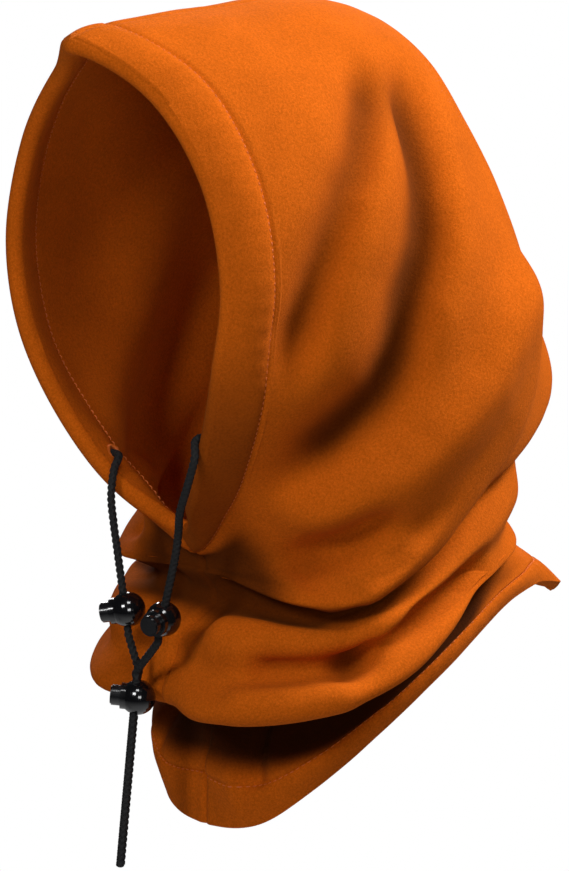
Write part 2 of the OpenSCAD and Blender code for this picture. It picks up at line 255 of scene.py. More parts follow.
def plain_material(name, colour, roughness, metallic=0.0, coat=0.0, grain=0, depth=0.0, wear=0.0):
    """A plain colour whose gloss varies a little, with a fine grain of that scale and depth."""
    material, nodes, links, shader = node_tree(name)
    where = nodes.new("ShaderNodeTexCoord")
    shader.inputs["Base Color"].default_value = (*colour, 1)
    shader.inputs["Metallic"].default_value = metallic
    shader.inputs["Coat Weight"].default_value = coat
    shader.inputs["Coat Roughness"].default_value = 0.05
    cloudy = noise_node(nodes, links, where, 160)
    gloss = nodes.new("ShaderNodeMapRange")
    gloss.inputs["To Min"].default_value = roughness * 0.8
    gloss.inputs["To Max"].default_value = min(roughness * 1.25, 1)
    links.new(cloudy.outputs["Fac"], gloss.inputs["Value"])
    links.new(gloss.outputs["Result"], shader.inputs["Roughness"])
    if grain:
        fine = noise_node(nodes, links, where, grain)
        bump = nodes.new("ShaderNodeBump")
        bump.inputs["Strength"].default_value = 0.5
        bump.inputs["Distance"].default_value = depth
        links.new(fine.outputs["Fac"], bump.inputs["Height"])
        links.new(bump.outputs["Normal"], shader.inputs["Normal"])
    if wear:
        edges = nodes.new("ShaderNodeNewGeometry")
        ramp = nodes.new("ShaderNodeMapRange")
        ramp.inputs["From Min"].default_value = 0.52
        ramp.inputs["From Max"].default_value = 0.7
        ramp.inputs["To Max"].default_value = wear
        links.new(edges.outputs["Pointiness"], ramp.inputs["Value"])
        mix = nodes.new("ShaderNodeMixRGB")
        mix.inputs["Color1"].default_value = (*colour, 1)
        mix.inputs["Color2"].default_value = (*(c * 4 + 0.02 for c in colour), 1)
        links.new(ramp.outputs["Result"], mix.inputs["Fac"])
        links.new(mix.outputs["Color"], shader.inputs["Base Color"])
    return material


ORANGE = (0.64, 0.119, 0.002)
fleece = fleece_material("fleece", ORANGE)
edging = fleece_material("edging", ORANGE)
thread = plain_material("thread", (0.62, 0.125, 0.006), 0.55, grain=4000, depth=0.0002)
braid = plain_material("cord", (0.0035, 0.0035, 0.004), 0.75, grain=3500, depth=0.0003, wear=0.5)
lock_plastic = plain_material("lock_plastic", (0.004, 0.004, 0.005), 0.16, coat=0.6, grain=900,
                              depth=0.00006, wear=0.4)
button_plastic = plain_material("button_plastic", (0.005, 0.005, 0.006), 0.22, coat=0.4,
                                grain=900, depth=0.00008, wear=0.5)
spring_steel = plain_material("spring_steel", (0.6, 0.6, 0.6), 0.25, metallic=1.0, grain=2500,
                              depth=0.00005)

# ---------------------------------------------------------------- the cloth's surface
mirrored = RINGS[:, -2:0:-1] * np.array((-1, 1, 1))
NET = np.concatenate([RINGS, mirrored], axis=1)
NET = np.concatenate([[2 * NET[0] - NET[1]], NET, [2 * NET[-1] - NET[-2]]])


def skin(u, v):
    """The base surface: u runs round the garment, negative on the wearer's right, v from the rim
    of the face opening to the bottom edge. The same kind of surface as the CAD part's."""
    u, v = np.broadcast_arrays(np.asarray(u, float), np.asarray(v, float))
    i, j = np.floor(u).astype(int), np.clip(np.floor(v).astype(int), 0, LAST_RING - 1)
    s, t = (u - i)[..., None], (v - j)[..., None]

    def ring(k):
        return curve(*(NET[j + k, (i + n) % LOOP] for n in (-1, 0, 1, 2)), s)
    return curve(ring(0), ring(1), ring(2), ring(3), t) - HEAD_TOP


def normal(u, v, step=0.08):
    """The way out of the base surface."""
    v0, v1 = np.maximum(v - step, 0), np.minimum(v + step, LAST_RING)
    round_way = skin(u + step, v) - skin(u - step, v)
    down_way = skin(u, v1) - skin(u, v0)
    return unit(np.cross(round_way, down_way))


# Folds of the cloth. Each is a route of (u, v) points, the half width of the fold towards the rim
# and towards the hem, and its height in millimetres: above zero a ridge, below zero a valley.
LEFT_FOLDS = [
    # the hollow of the hood's side, between the casing and the roll behind it
    ([(0.7, 3.35), (1.1, 3.25), (1.6, 3.1), (2.0, 3.0), (2.6, 2.8), (3.1, 2.6), (3.6, 2.5),
      (4.0, 2.35), (4.4, 2.1), (4.9, 1.8), (5.6, 1.3)], 22, 7.0, -18.0),
    ([(0.9, 2.9), (1.3, 2.65), (1.8, 2.3), (2.2, 2.0), (2.6, 1.8), (3.0, 1.6), (3.5, 1.4),
      (4.2, 1.3)], 16, 7.0, -14.0),
    # the roll
    ([(1.9, 4.0), (2.6, 3.75), (3.0, 3.5), (3.5, 3.35), (4.0, 3.0), (4.5, 2.75), (5.1, 2.3),
      (5.8, 2.1)], 12, 20, 11.0),
    # under the jaw, above the neck's roll
    ([(4.7, 3.1), (5.1, 2.95), (5.5, 3.1), (5.8, 3.8), (5.95, 5.0)], 8, 10, -10.0),
    ([(4.8, 3.8), (5.1, 4.0), (5.3, 4.6), (5.4, 5.3)], 9, 11, 5.0),
    ([(6.98, 6.6), (6.7, 6.5), (6.3, 6.5), (5.8, 6.6), (5.3, 6.7)], 9, 6, -4.0),
    # the neck's roll, its end at the front and the folds under it
    ([(6.75, 8.0), (6.5, 7.7), (6.1, 7.6), (5.7, 7.7), (5.2, 7.9), (4.6, 8.0), (4.0, 8.0)],
     8, 13, 8.0),
    ([(6.95, 6.8), (6.88, 7.6), (6.92, 8.4), (6.97, 9.4)], 6, 6, -5.0),
    ([(6.1, 8.7), (5.7, 8.6), (5.3, 8.65), (4.9, 8.85), (4.4, 8.85)], 11, 7, -11.5),
    ([(6.1, 9.35), (5.7, 9.35), (5.25, 9.3), (4.7, 9.3)], 5, 9, 5.0),
    ([(2.4, 9.35), (3.05, 9.3), (3.7, 9.1), (4.25, 8.8), (4.8, 8.85), (5.2, 9.0)],
     9, 5, -9.0),
    ([(6.9, 9.9), (6.2, 9.8), (5.4, 9.8), (4.6, 9.8), (3.6, 9.8), (2.6, 9.8)], 8, 9, 3.0),
    # the dark hollow under the lowest roll, and the skirt
    ([(6.9, 11.0), (6.2, 11.05), (5.5, 11.1), (4.8, 11.15), (4.2, 11.1), (3.4, 11.0), (2.4, 11.0),
      (1.4, 11.0)], 8, 8, -11.0),
    ([(6.95, 11.75), (6.6, 11.75), (6.2, 11.8)], 7, 14, 7.0),
    ([(6.04, 11.0), (6.06, 11.5), (5.98, 12.1)], 5, 5, -6.0),
    ([(5.9, 11.4), (5.2, 11.5), (4.6, 11.6), (4.0, 11.6)], 9, 7, -5.0),
]
RIGHT_FOLDS = [
    ([(0.8, 3.3), (1.4, 3.15), (2.0, 2.95), (2.6, 2.8), (3.2, 2.65), (3.8, 2.45), (4.4, 2.1),
      (5.0, 1.7), (5.6, 1.3)], 24, 24, -8.0),
    ([(1.2, 4.3), (1.9, 3.95), (2.6, 3.7), (3.3, 3.4), (4.0, 3.0), (4.7, 2.6), (5.4, 2.1),
      (6.0, 1.7)], 17, 17, 6.0),
    ([(4.9, 3.0), (5.3, 3.2), (5.6, 4.0), (5.7, 5.2)], 9, 9, -6.0),
    ([(6.7, 6.5), (6.3, 6.4), (5.8, 6.5), (5.3, 6.6)], 8, 6, -6.0),
    ([(6.6, 8.0), (6.2, 7.7), (5.6, 7.8), (5.0, 8.0), (4.3, 8.1)], 9, 12, 5.0),
    ([(5.9, 8.9), (5.4, 8.8), (4.9, 9.0), (4.2, 9.0), (3.4, 9.2)], 9, 6, -7.0),
    ([(6.8, 11.0), (5.8, 11.1), (4.8, 11.1), (3.6, 11.0), (2.4, 11.0)], 8, 8, -7.0),
    ([(5.9, 11.2), (5.8, 11.6), (5.7, 12.0)], 5, 5, -4.0),
]
ROUTE_STEPS = 14        # places looked at between two points of a route
FOLD_ENDS = 0.16        # share of a route over which a fold dies away at each end
FOLD_REACH = 2.2        # a fold reaches no further than this in v
FAR_AWAY = 1e9


def fold_heights(u, v, points):
    """How far each point of the cloth lies off the base surface."""
    height = np.zeros(u.shape)
    for side, folds in ((1, LEFT_FOLDS), (-1, RIGHT_FOLDS)):
        own = u * side > 0.02                   # the centre lines belong to neither side
        uu, vv, pp = u[own], v[own], points[own]
        total = np.zeros(uu.shape)
        for route, before, after, size in folds:
            route = np.array(route, float)
            t = np.linspace(0, len(route) - 1, ROUTE_STEPS * (len(route) - 1) + 1)
            ru = np.interp(t, range(len(route)), route[:, 0])
            rv = np.interp(t, range(len(route)), route[:, 1])
            line = skin(ru * side, rv)
            far = np.full(uu.shape, FAR_AWAY)
            at = np.zeros(uu.shape, int)
            for k in range(len(t)):
                d = np.linalg.norm(pp - line[k], axis=-1)
                closer = d < far
                far[closer], at[closer] = d[closer], k
            share = t / t[-1]
            fade = rise(share, 0, FOLD_ENDS) * fall(share, 1, FOLD_ENDS)
            near = fall(np.abs(vv - rv[at]), FOLD_REACH, 1)
            half_width = np.where(vv < rv[at], before, after)
            total += size * np.exp(-(far / half_width) ** 2) * fade[at] * near
        height[own] = total
    return height


def blurred(field, times):
    """The field with its steps smoothed away, over a few cells of the grid."""
    for _ in range(times):
        padded = np.pad(field, ((1, 1), (1, 1)) + ((0, 0),) * (field.ndim - 2), mode="edge")
        padded[:, 0], padded[:, -1] = padded[:, -3], padded[:, 2]
        field = (padded[:-2, 1:-1] + padded[2:, 1:-1] + padded[1:-1, :-2] + padded[1:-1, 2:]
                 + 2 * field) / 6
    return field


def seeded_noise(points, scale, seed):
    """Smooth waves between about -1 and 1, each about scale millimetres long."""
    flat = points.reshape(-1, 3) / scale
    values = [noise.noise(Vector((p[0] + seed, p[1] - seed, p[2] + 2 * seed))) for p in flat]
    return np.array(values).reshape(points.shape[:-1])


# The cloth's grid: rows between one ring and the next, and columns between two of its points,
# with closer rows beside the two rows of stitches.
ROWS_PER_RING = [14, 26, 28, 28, 26, 26, 16, 16, 14, 12, 14, 20, 18]
COLUMNS_PER_POINT = 28
BEND_BLUR, FOLD_BLUR = 16, 8
# A row of stitches pulls a groove into the cloth, of this half width in v and depth.
GROOVE_W, GROOVE_DEPTH = 0.045, 0.8
row_v = np.concatenate([[r + k / n for k in range(n)] for r, n in enumerate(ROWS_PER_RING)]
                       + [[LAST_RING]])
near_seam = np.array((-0.08, -0.045, -0.02, 0.02, 0.045, 0.08))
row_v = np.concatenate([row_v, STITCH_RING + near_seam, HEM_RING + near_seam])
row_v = np.unique(np.round(row_v, 4))
column_u = np.arange(-FRONT * COLUMNS_PER_POINT, FRONT * COLUMNS_PER_POINT + 1) / COLUMNS_PER_POINT
U, V = np.meshgrid(column_u, row_v)
BASE = skin(U, V)

# Where the hood folds over on to the neck, the bend is eased so that the cloth can't cross itself.
eased = (rise(V, 4.2, 0.8) * fall(V, 7.9, 0.6))[..., None]
BASE = BASE * (1 - eased) + blurred(BASE, BEND_BLUR) * eased
UP = unit(np.cross(np.gradient(BASE, axis=1), np.gradient(BASE, axis=0)))
UP[:, 0] = UP[:, -1] = unit((UP[:, 0] + UP[:, -1]) * np.array((0, 1, 1)))
between = (rise(V, 1.1, 0.8) * fall(V, 11.9, 0.8))[..., None]
UP = unit(normal(U, V) * (1 - between) + blurred(UP, BEND_BLUR) * between)

# The folds' heights, which stay low in the crease under the hood, where there is no room for them.
HEIGHT = blurred(fold_heights(U, V, BASE), FOLD_BLUR)
tight = rise(V, 5.6, 0.5) * fall(V, 7.6, 0.5) * fall(np.abs(U), 6.5, 0.5)
HEIGHT = HEIGHT * (1 - tight) + np.clip(HEIGHT, -2.5, 1.5) * tight
# The cloth is uneven all over. Its heights die away at the rim, and the crown is a little lower.
HEIGHT += 0.6 * seeded_noise(BASE, 38, 3.1) + 0.25 * seeded_noise(BASE, 16, 7.7)
HEIGHT *= rise(V, 0.3, 1.0) * 0.85 + 0.15
HEIGHT -= 1.6 * fall(np.abs(U), 1.6, 1.2) * fall(V, 3.4, 1.2)
# The centre seams: a groove between two low welts.
seam_x = np.abs(BASE[..., 0])
seam = -0.9 * np.exp(-(seam_x / 1.3) ** 2) + 0.35 * np.exp(-((seam_x - 3.6) / 1.8) ** 2)
HEIGHT += seam * rise(V, 0, 0.5)
for ring in (STITCH_RING, HEM_RING):
    HEIGHT -= GROOVE_DEPTH * np.exp(-((V - ring) / GROOVE_W) ** 2)
CLOTH = BASE + UP * HEIGHT[..., None]


def panel_cells(v0, v1, side):
    """The part of the grid that a panel covers."""
    rows = np.where((row_v >= v0 - 1e-6) & (row_v <= v1 + 1e-6))[0]
    columns = np.where(column_u * side >= -1e-6)[0]
    return np.ix_(rows, columns)


def fold_shade(u, v, height, side):
    """Painted shade at each point: 0 on open cloth, 1 where the colour is darkened most."""
    away = np.abs(u)                            # from the centre of the back
    # painted shade is weaker on the wearer's right than on the left, but for the two centre lines
    # that they share
    calm = 0.0 if side > 0 else rise(away, 0.5, 1.0) * fall(away, 6.6, 1.4)
    # painted shadow in the hollow under the lowest roll, which fades out at the back and reaches
    # lowest at the side
    ends = 11.85 + 0.35 * fall(away, 6.2, 2) * rise(away, 1.8, 1.2)
    under_roll = rise(v, 10.3, 0.5) * fall(v, ends + 0.1, 0.4)
    under_roll *= rise(away, 0.8, 1.8) * (1 - 0.25 * calm)
    # painted shade in the bottoms of the folds, and on the cloth under the chin and the jaw down to
    # the neck's roll
    valleys = (0.88 - 0.48 * calm) * smoothstep(-(height + 3) / 17)
    chin = 0.85 * rise(away, 5.7, 0.6) * rise(v, 1.2, 0.8)
    jaw = 0.85 * rise(away, 3.6, 1.0) * rise(v, 5.6, 0.7)
    under_head = np.maximum(chin, jaw) * fall(v, 7.7, 0.5)
    return np.maximum(np.maximum(valleys, under_head), under_roll)


def cloth_panel(name, v0, v1, side):
    """One panel of cloth with its thickness, between two rings on one side."""
    cells = panel_cells(v0, v1, side)
    outer = CLOTH[cells]
    du = np.gradient(outer, axis=1)
    dv = np.gradient(outer, axis=0)
    out = unit(np.cross(du, dv))
    out = unit(out + 0.5 * UP[cells])
    inner = outer - out * FLEECE
    n, m = outer.shape[:2]
    points = np.concatenate([outer.reshape(-1, 3), inner.reshape(-1, 3)])
    faces = grid_faces(n, m, turned=True)
    faces += grid_faces(n, m, offset=n * m)
    ring = ([(0, c) for c in range(m)] + [(r, m - 1) for r in range(1, n)]
            + [(n - 1, c) for c in range(m - 2, -1, -1)] + [(r, 0) for r in range(n - 2, 0, -1)])
    ids = [r * m + c for r, c in ring]
    faces += [(a, b, b + n * m, a + n * m) for a, b in zip(ids, ids[1:] + ids[:1])]
    panel = new_object(name, points, faces, "garment", fleece, [name + "_panel"])
    # painted shade: this point attribute darkens the outer face's colour in folds and hollows; the
    # inner face gets none
    depth = fold_shade(U[cells], V[cells], HEIGHT[cells], side).reshape(-1)
    painted_shade = panel.data.attributes.new("painted_shade", "FLOAT", "POINT")
    painted_shade.data.foreach_set("value", np.concatenate([depth, np.zeros(n * m)]))
    return panel


panels = [
    cloth_panel("hood_left", STITCH_RING, CREASE_RING, 1),
    cloth_panel("hood_right", STITCH_RING, CREASE_RING, -1),
    cloth_panel("neck_left", CREASE_RING, HEM_RING, 1),
    cloth_panel("neck_right", CREASE_RING, HEM_RING, -1),
]


# ---------------------------------------------------------------- bands: casing and hem
def height_at(u, v):
    """The folds' height at any place, read off the grid."""
    columns = np.clip((np.asarray(u) + FRONT) * COLUMNS_PER_POINT, 0, len(column_u) - 1)
    rows = np.interp(v, row_v, range(len(row_v)))
    c0, r0 = np.floor(columns).astype(int), np.floor(rows).astype(int)
    c1, r1 = np.minimum(c0 + 1, len(column_u) - 1), np.minimum(r0 + 1, len(row_v) - 1)
    fc, fr = columns - c0, rows - r0
    return ((HEIGHT[r0, c0] * (1 - fc) + HEIGHT[r0, c1] * fc) * (1 - fr)
            + (HEIGHT[r1, c0] * (1 - fc) + HEIGHT[r1, c1] * fc) * fr)


BAND_PER_POINT = 60
BAND_SMOOTH = 70        # degrees between faces, up to which a band's shading is smooth
band_u = np.arange(-FRONT * BAND_PER_POINT, FRONT * BAND_PER_POINT) / BAND_PER_POINT


def band(name, section, node, shade):
    """A closed band all round the garment. Each point of its section is (v, height above the
    outer face, distance past v along the cloth), and may vary round the garment."""
    rings = []
    along = unit(skin(band_u, 1.0) - skin(band_u, 0.0))
    for v, high, past in section:
        v = np.broadcast_to(v, band_u.shape)
        base = skin(band_u, v) + normal(band_u, v) * (high + height_at(band_u, v))[:, None]
        rings.append(base + along * np.broadcast_to(past, band_u.shape)[:, None])
    points = np.array(rings).transpose(1, 0, 2)
    n, m = points.shape[:2]
    obj = new_object(name, points.reshape(-1, 3), grid_faces(n, m, True, True), "garment", edging,
                     [node], BAND_SMOOTH)
    # painted shade: this point attribute, taken from shade, darkens the band's colour
    painted_shading = obj.data.attributes.new("painted_shade", "FLOAT", "POINT")
    painted_shading.data.foreach_set("value", (shade[:, None] * np.ones(m)).reshape(-1))
    return obj


def lengths_round(v):
    """Distance along the ring at v for each band_u."""
    p = skin(band_u, v)
    step = np.linalg.norm(np.roll(p, -1, 0) - p, axis=1)
    return np.concatenate([[0], np.cumsum(step)])[:-1], step.sum()


rim_length, rim_total = lengths_round(0.5)
hem_length, hem_total = lengths_round(12.5)


def puckers(length, total, wavelength, seed):
    """Small gathers along a seam, of slightly uneven spacing."""
    waves = round(total / wavelength)
    phase = 2 * math.pi * length / total
    uneven = 1.7 * np.sin(3 * phase + seed) + 1.1 * np.sin(7 * phase + 2 * seed)
    strength = 0.75 + 0.25 * np.sin(5 * phase + 3 * seed)
    return np.sin(waves * phase + uneven) * strength


pucker = puckers(rim_length, rim_total, 8.5, 0.7)
pucker_in = puckers(rim_length, rim_total, 7.5, 2.1)
half = CASING_DEPTH / 2


# The casing's round nose starts at NOSE_V, and its middle is NOSE_INSET from the rim.
NOSE_V, NOSE_INSET, NOSE_POINTS = 0.12, 3.6, 9
# How high the gathers along the seams stand, on the outer and the inner layer.
CASING_GATHERS, HEM_GATHERS = (0.16, 0.15), (0.18, 0.15)


def casing_section():
    section = []
    for s in shares(15):                      # outer layer, from the stitch line to the nose
        v = 1 - (1 - NOSE_V) * s ** 1.3
        puff = math.sin(math.pi * s) ** 0.8
        gather = pucker * CASING_GATHERS[0] * (1 - s) * math.sin(math.pi * min(4 * s, 1) / 2)
        section.append((v, puff + gather, 0))
    for k in range(NOSE_POINTS):              # the round nose
        a = math.pi * (k + 0.5) / NOSE_POINTS
        section.append((0, -half + half * math.cos(a),
                        NOSE_INSET - (half + 0.2) * math.sin(a)))
    for s in shares(13):                      # inner layer, back to the stitch line
        v = NOSE_V + 0.87 * s
        deep = CASING_DEPTH + (2 * FLEECE - CASING_DEPTH) * s ** 1.5
        puff = 0.5 * math.sin(math.pi * s) - 0.9 * s ** 12
        section.append((v, -deep - puff + pucker_in * CASING_GATHERS[1] * s ** 0.7, 0))
    section.append((1.06, -2 * FLEECE + 0.2, 0))
    section.append((1.06, -FLEECE - 0.15, 0))
    section.append((1, -FLEECE - 0.15, 0))
    return section


# Painted shade on the casing: its colour is darker on the wearer's left, from the cheek down to the
# chin.
casing = band("casing", casing_section(), "face_casing", 0.5 * rise(band_u, 3.2, 1.6))

hem_wave = puckers(hem_length, hem_total, 11, 1.3)


def hem_section():
    section = []
    for s in shares(13):                      # outer layer, from the stitch line to the edge
        taper = math.sin(math.pi * min(6 * s, 1) / 2)
        gather = hem_wave * HEM_GATHERS[0] * (1 - s) * taper
        section.append((HEM_RING + 0.98 * s ** 1.2, 0.7 * math.sin(math.pi * s) + gather, 0))
    section.append((LAST_RING, -FLEECE, 0))
    for done in shares(11):                   # inner layer, back to the stitch line
        s = 1 - done
        deep = -2 * FLEECE - 0.5 * math.sin(math.pi * s) + 0.5 * (1 - s) ** 6
        section.append((HEM_RING + 0.01 + 0.97 * s, deep + hem_wave * HEM_GATHERS[1] * (1 - s), 0))
    return section


hem = band("hem", hem_section()[::-1], "bottom_hem", np.zeros(band_u.shape))


# ---------------------------------------------------------------- cords
LEFT_EYELET_AT, RIGHT_EYELET_AT = 4.95, -5.6
EYELET_INSET = 12       # from the rim
CORD_SUNK = 0.4         # the cord starts this far inside the casing's inner face
STRAIGHT_OUT = 8        # and runs straight out of its eyelet for this far
LEFT_EXIT, RIGHT_EXIT = np.array((-9, -5, 2.0)), np.array((9, -3, 0.0))
LOCKS = {
    "left": dict(at=(16, -85, -70), up=(6, 0, 19), push=(3, -10, -1.5)),
    "right": dict(at=(-10, -85, -70), up=(-4, 0, 19), push=(-9, -7, -3)),
    "joint": dict(at=(-3, -85, -109), up=(1, 8, 75), push=(-7, -7, 0)),
}
LEFT_ROUTE = [(45, -89, 17), (49, -93, 10), (44, -93, -3), (35, -90, -17), (29, -86, -28)]
RIGHT_ROUTE = [(-24, -80, -9), (-21, -84, -20), (-18, -85, -32)]
BESIDE = CORD_D / 2 + 0.1       # from the joint lock's axis to each of its two cords
# The cord is straight for REACH either side of a lock's centre and curves in over LEAD more, runs
# straight up an upper lock's slide for STRETCH, and hangs for TAIL below the joint lock's centre.
REACH, LEAD, STRETCH, TAIL = 8.5, 4, 30, 78


def casing_point(u, inset, depth):
    """A point of the casing: inset from the rim, and depth inward from its outer face."""
    u = np.asarray(u, float)
    along = unit(skin(u, 1.0) - skin(u, 0.0))
    return skin(u, 0.0) + along * inset - normal(u, np.full(u.shape, 0.3)) * depth


def lock_axes(lock):
    """A lock's own axes: its button faces x, and z goes up its cord."""
    z = unit(np.array(lock["up"], float))
    y = unit(np.cross(z, np.array(lock["push"], float)))
    return np.cross(y, z), y, z


def route_of(eyelet_u, exit_way, route, lock, side):
    """A free end's whole route: out of its eyelet, and down through its own and the joint lock."""
    start = casing_point(eyelet_u, EYELET_INSET, CASING_DEPTH - CORD_SUNK)
    up = lock_axes(LOCKS[lock])[2]
    joint_y, joint_up = lock_axes(LOCKS["joint"])[1:]
    here = np.array(LOCKS[lock]["at"], float) - HEAD_TOP
    joint = np.array(LOCKS["joint"]["at"], float) - HEAD_TOP + joint_y * BESIDE * side
    out = start + unit(exit_way) * STRAIGHT_OUT
    return ([start, out] + [np.array(p, float) - HEAD_TOP for p in route]
            + [here + up * STRETCH, here, here - up * REACH, here - up * (REACH + LEAD)]
            + [joint + joint_up * (REACH + LEAD), joint + joint_up * REACH, joint,
               joint - joint_up * TAIL / 2, joint - joint_up * TAIL])


CURVE_STEPS = 40        # between two points of a route, when a curve is measured


def smooth_line(route, spacing):
    """Evenly spaced points on a smooth curve through the route, and its length."""
    route = np.array(route, float)
    ends = np.concatenate([[2 * route[0] - route[1]], route, [2 * route[-1] - route[-2]]])
    t = np.linspace(0, 1, CURVE_STEPS, endpoint=False)[:, None]
    fine = np.concatenate([curve(*ends[i:i + 4], t) for i in range(len(route) - 1)] + [route[-1:]])
    length = np.concatenate([[0], np.cumsum(np.linalg.norm(np.diff(fine, axis=0), axis=1))])
    count = max(int(length[-1] / spacing), 2)
    at = np.linspace(0, length[-1], count + 1)
    return np.stack([np.interp(at, length, fine[:, k]) for k in range(3)], 1), length[-1]


BRAID_PITCH = 8.0       # one turn of a strand
BRAID_STRANDS = 6
BRAID_SIDES = 24
BRAID_SPACING = 0.45    # between its rings of points
BRAID_RELIEF = 0.34     # how far a strand stands out
BRAID_SMOOTH = 80       # degrees
MELTED, ROUNDED = 3.5, 0.9      # lengths of the smooth sealed tip and of its rounded end


def braided_cord(name, route, node):
    """A round braid: strands cross over and under one another in a diamond pattern. The last few
    millimetres are melted and smooth."""
    line, length = smooth_line(route, BRAID_SPACING)
    tangent = unit(np.gradient(line, axis=0))
    across = np.zeros_like(line)
    across[0] = unit(np.cross(tangent[0], (0.31, 0.9, 0.3)))
    for i in range(1, len(line)):
        across[i] = unit(across[i - 1] - tangent[i] * (across[i - 1] @ tangent[i]))
    third = np.cross(tangent, across)
    s = np.linspace(0, length, len(line))
    angle = np.arange(BRAID_SIDES) / BRAID_SIDES * 2 * math.pi
    turn = 2 * math.pi * s[:, None] / BRAID_PITCH
    one = np.cos(BRAID_STRANDS / 2 * (angle[None] + turn))
    two = np.cos(BRAID_STRANDS / 2 * (angle[None] - turn))
    relief = BRAID_RELIEF * (np.maximum(one, two) - 0.5)
    radius = CORD_D / 2 - 0.05 + relief
    left = length - s
    melt = smoothstep(1 - left / MELTED)[:, None]
    radius = radius * (1 - melt) + (CORD_D / 2 + 0.1) * melt
    end = np.clip(left / ROUNDED, 0, 1)[:, None]
    radius = radius * np.sqrt(1 - (1 - end) ** 2 * 0.75)
    points = (line[:, None] + across[:, None] * (np.cos(angle)[None, :, None] * radius[..., None])
              + third[:, None] * (np.sin(angle)[None, :, None] * radius[..., None]))
    n, m = points.shape[:2]
    points = np.concatenate([points.reshape(-1, 3), line[:1], line[-1:]])
    faces = grid_faces(n, m, False, True)
    faces += [(n * m, (k + 1) % m, k) for k in range(m)]
    faces += [(n * m + 1, (n - 1) * m + k, (n - 1) * m + (k + 1) % m) for k in range(m)]
    obj = new_object(name, points, faces, "garment", braid, [node], BRAID_SMOOTH)
    return obj, line * MM, length * MM


# ---------------------------------------------------------------- the springs behind the buttons
SPRING_D, SPRING_WIRE, SPRING_COILS = 6.0, 0.5, 3
SPRING_SPACE = 4.3      # at rest, from the pocket's floor to the button's back
SPRING_CLEAR = 0.1      # left over in that space
SPRING_SIDES, SPRING_STEPS = 10, 28     # round the wire, and along each turn


def coil_spring(lock):
    """The coil behind a button, at its rest length."""
    node, joint = lock + "_lock_spring", lock + "_lock_button_press"
    axis = unit(np.array(next(j["axis"] for j in frame["joints"] if j["name"] == joint), float))
    centre = np.mean([v.co for v in frame["nodes"][node].data.vertices], axis=0) / MM
    across = unit(np.cross(axis, (0, 0, 1)))
    third = np.cross(axis, across)
    turn = np.linspace(0, 2 * math.pi * SPRING_COILS, SPRING_COILS * SPRING_STEPS + 1)
    radial = across * np.cos(turn)[:, None] + third * np.sin(turn)[:, None]
    reach = SPRING_SPACE - SPRING_WIRE - SPRING_CLEAR
    line = centre + radial * SPRING_D / 2 + axis * (reach * (turn / turn[-1] - 0.5))[:, None]
    angle = np.linspace(0, 2 * math.pi, SPRING_SIDES, endpoint=False)[:, None]
    round_wire = radial[:, None] * np.cos(angle) + axis * np.sin(angle)
    tube = line[:, None] + SPRING_WIRE / 2 * round_wire
    faces = grid_faces(len(turn), SPRING_SIDES, False, True, turned=True)
    faces.append(tuple(range(SPRING_SIDES)))
    last = (len(turn) - 1) * SPRING_SIDES
    faces.append(tuple(last + k for k in range(SPRING_SIDES))[::-1])
    spring = new_object(node + "_coil", tube.reshape(-1, 3), faces, lock + "_lock", spring_steel,
                        [node])
    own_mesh(spring)
    return spring


springs = {lock: coil_spring(lock) for lock in LOCKS}

left_cord, left_path, left_length = braided_cord(
    "cord_left", route_of(LEFT_EYELET_AT, LEFT_EXIT, LEFT_ROUTE, "left", 1), "drawcord_left_end")
right_cord, right_path, right_length = braided_cord(
    "cord_right", route_of(RIGHT_EYELET_AT, RIGHT_EXIT, RIGHT_ROUTE, "right", -1),
    "drawcord_right_end")
for cord, path, length, locks in (
        (left_cord, left_path, left_length, ("left", "joint")),
        (right_cord, right_path, right_length, ("right",))):
    on_it = [springs[lock] for lock in locks]
    on_it += [frame["nodes"][lock + "_lock_" + part]
              for lock in locks for part in ("barrel", "button")]


# ---------------------------------------------------------------- stitches and eyelets
THREAD_SIDES = 6
LINE_POINTS = 3000      # round a ring, when a row of stitches is measured out along it
THREAD_TIP = 0.45       # a stitch's width at its ends, as a share of its width between them
STITCH_BOW = np.array((-0.5, 0, 0.12, 0, -0.5))     # a stitch's height at points along it


def threads(name, stitches, thickness, replaces=()):
    """Many short bent lengths of thread in one piece. Each stitch is a few points."""
    points, faces = [], []
    angle = np.arange(THREAD_SIDES) / THREAD_SIDES * 2 * math.pi
    for stitch in stitches:
        stitch = np.array(stitch, float)
        tangent = unit(np.gradient(stitch, axis=0))
        across = unit(np.cross(tangent, (0.3, 0.2, 0.93)))
        third = np.cross(tangent, across)
        n = len(stitch)
        radius = thickness / 2 * np.array([THREAD_TIP] + [1.0] * (n - 2) + [THREAD_TIP])
        tube = (stitch[:, None] + across[:, None] * (np.cos(angle)[:, None] * radius[:, None, None])
                + third[:, None] * (np.sin(angle)[:, None] * radius[:, None, None]))
        offset = len(points)
        points += tube.reshape(-1, 3).tolist()
        faces += grid_faces(n, THREAD_SIDES, False, True, offset)
        faces.append(tuple(offset + k for k in range(THREAD_SIDES))[::-1])
        faces.append(tuple(offset + (n - 1) * THREAD_SIDES + k for k in range(THREAD_SIDES)))
    return new_object(name, points, faces, "garment", thread, replaces)


def stitch_line(name, v, high, pitch=3.0, length=2.2, thickness=0.55):
    """A row of straight stitches along the ring at v, high above the base surface."""
    bow = STITCH_BOW if high > -1 else -STITCH_BOW      # a row on the inside bows inward
    u = np.linspace(-FRONT, FRONT, LINE_POINTS)
    line = skin(u, np.full(u.shape, v))
    at = np.concatenate([[0], np.cumsum(np.linalg.norm(np.diff(line, axis=0), axis=1))])
    stitches = []
    for k in range(int(at[-1] / pitch)):
        s = np.linspace(0, length, len(bow)) + k * pitch
        uu = np.interp(s, at, u)
        vv = np.full(uu.shape, v)
        lift = height_at(uu, vv) + high + bow
        stitches.append(skin(uu, vv) + normal(uu, vv) * lift[:, None])
    return threads(name, stitches, thickness)


